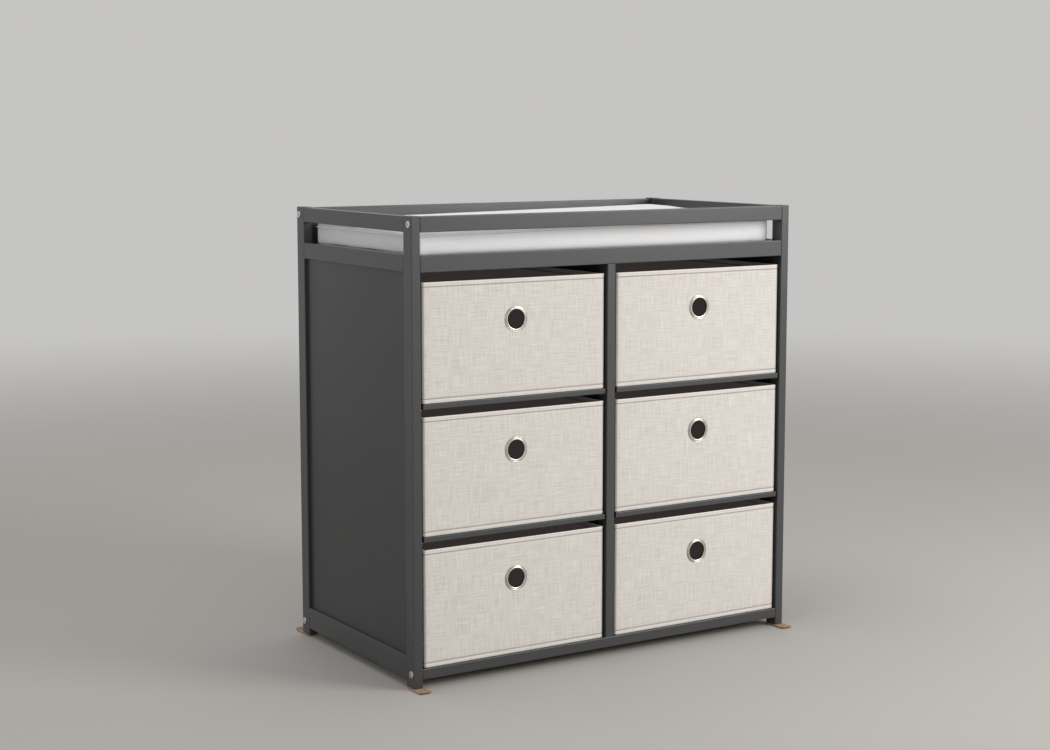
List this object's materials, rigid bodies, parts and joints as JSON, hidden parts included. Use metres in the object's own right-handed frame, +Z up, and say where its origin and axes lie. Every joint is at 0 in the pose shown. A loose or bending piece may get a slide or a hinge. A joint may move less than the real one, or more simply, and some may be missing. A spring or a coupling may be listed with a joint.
{
  "type": "changing table",
  "caption": "Painted timber changing table with a railed tray and soft pad on top, and fabric storage bins with ringed finger holes on open shelves below.",
  "frame": {"origin": "on the floor, midway between the two sides and between the front and the back", "axes": "+Z up, +X towards the right-hand side seen from the front, +Y towards the back; the bins face -Y"},
  "size_m": [0.92, 0.555, 0.914],
  "materials": {
    "painted_timber": "charcoal grey lacquer, satin",
    "painted_board": "charcoal grey painted board, satin",
    "back_board": "dark painted hardboard, matt",
    "raw_timber": "planed beech, bare",
    "zinc_steel": "bright zinc plate",
    "tan_felt": "pressed tan felt",
    "linen_fabric": "woven linen-look polyester, matt",
    "base_cloth": "dark spunbond lining cloth, matt",
    "nickel": "satin nickel plate",
    "white_vinyl": "white vinyl-coated cloth, low gloss"
  },
  "bodies": {
    "frame": {"back_panel": "back_board", "barrel_nuts": "zinc_steel", "bottom_board": "painted_board", "bottom_cleats": "raw_timber", "centre_panel": "painted_board", "centre_stile_front": "painted_timber", "centre_stile_rear": "painted_timber", "changing_deck": "painted_board", "cleat_screws": "zinc_steel", "connector_bolts": "zinc_steel", "deck_cleats": "raw_timber", "foot_pad_front_left": "tan_felt", "foot_pad_front_right": "tan_felt", "foot_pad_rear_left": "tan_felt", "foot_pad_rear_right": "tan_felt", "frame_dowels": "raw_timber", "front_bottom_rail": "painted_timber", "front_middle_rail": "painted_timber", "front_top_rail": "painted_timber", "post_front_left": "painted_timber", "post_front_right": "painted_timber", "post_rear_left": "painted_timber", "post_rear_right": "painted_timber", "rear_bottom_rail": "painted_timber", "rear_tray_board": "painted_timber", "shelf_lower_left": "painted_timber", "shelf_lower_right": "painted_timber", "shelf_pins": "zinc_steel", "shelf_upper_left": "painted_timber", "shelf_upper_right": "painted_timber", "side_bottom_rail_left": "painted_timber", "side_bottom_rail_right": "painted_timber", "side_middle_rail_left": "painted_timber", "side_middle_rail_right": "painted_timber", "side_panel_left": "painted_board", "side_panel_right": "painted_board", "side_top_rail_left": "painted_timber", "side_top_rail_right": "painted_timber", "stile_dowels": "raw_timber"},
    "bin_bottom_left": {"bin_bottom_left": "linen_fabric", "base_bottom_left": "base_cloth", "grommet_bottom_left": "nickel"},
    "bin_bottom_right": {"bin_bottom_right": "linen_fabric", "base_bottom_right": "base_cloth", "grommet_bottom_right": "nickel"},
    "bin_middle_left": {"bin_middle_left": "linen_fabric", "base_middle_left": "base_cloth", "grommet_middle_left": "nickel"},
    "bin_middle_right": {"bin_middle_right": "linen_fabric", "base_middle_right": "base_cloth", "grommet_middle_right": "nickel"},
    "bin_top_left": {"bin_top_left": "linen_fabric", "base_top_left": "base_cloth", "grommet_top_left": "nickel"},
    "bin_top_right": {"bin_top_right": "linen_fabric", "base_top_right": "base_cloth", "grommet_top_right": "nickel"},
    "changing_pad": {"changing_pad": "white_vinyl"}
  },
  "joints": [
    {"name": "bin_bottom_left_slide", "type": "slide", "parent": "frame", "child": "bin_bottom_left", "axis": [0, -1, 0], "range_m": [0, 0.49]},
    {"name": "bin_bottom_right_slide", "type": "slide", "parent": "frame", "child": "bin_bottom_right", "axis": [0, -1, 0], "range_m": [0, 0.49]},
    {"name": "bin_middle_left_slide", "type": "slide", "parent": "frame", "child": "bin_middle_left", "axis": [0, -1, 0], "range_m": [0, 0.49]},
    {"name": "bin_middle_right_slide", "type": "slide", "parent": "frame", "child": "bin_middle_right", "axis": [0, -1, 0], "range_m": [0, 0.49]},
    {"name": "bin_top_left_slide", "type": "slide", "parent": "frame", "child": "bin_top_left", "axis": [0, -1, 0], "range_m": [0, 0.49]},
    {"name": "bin_top_right_slide", "type": "slide", "parent": "frame", "child": "bin_top_right", "axis": [0, -1, 0], "range_m": [0, 0.49]},
    {"name": "changing_pad_lift", "type": "slide", "parent": "frame", "child": "changing_pad", "axis": [0, 0, 1], "range_m": [0, 0.15]}
  ]
}
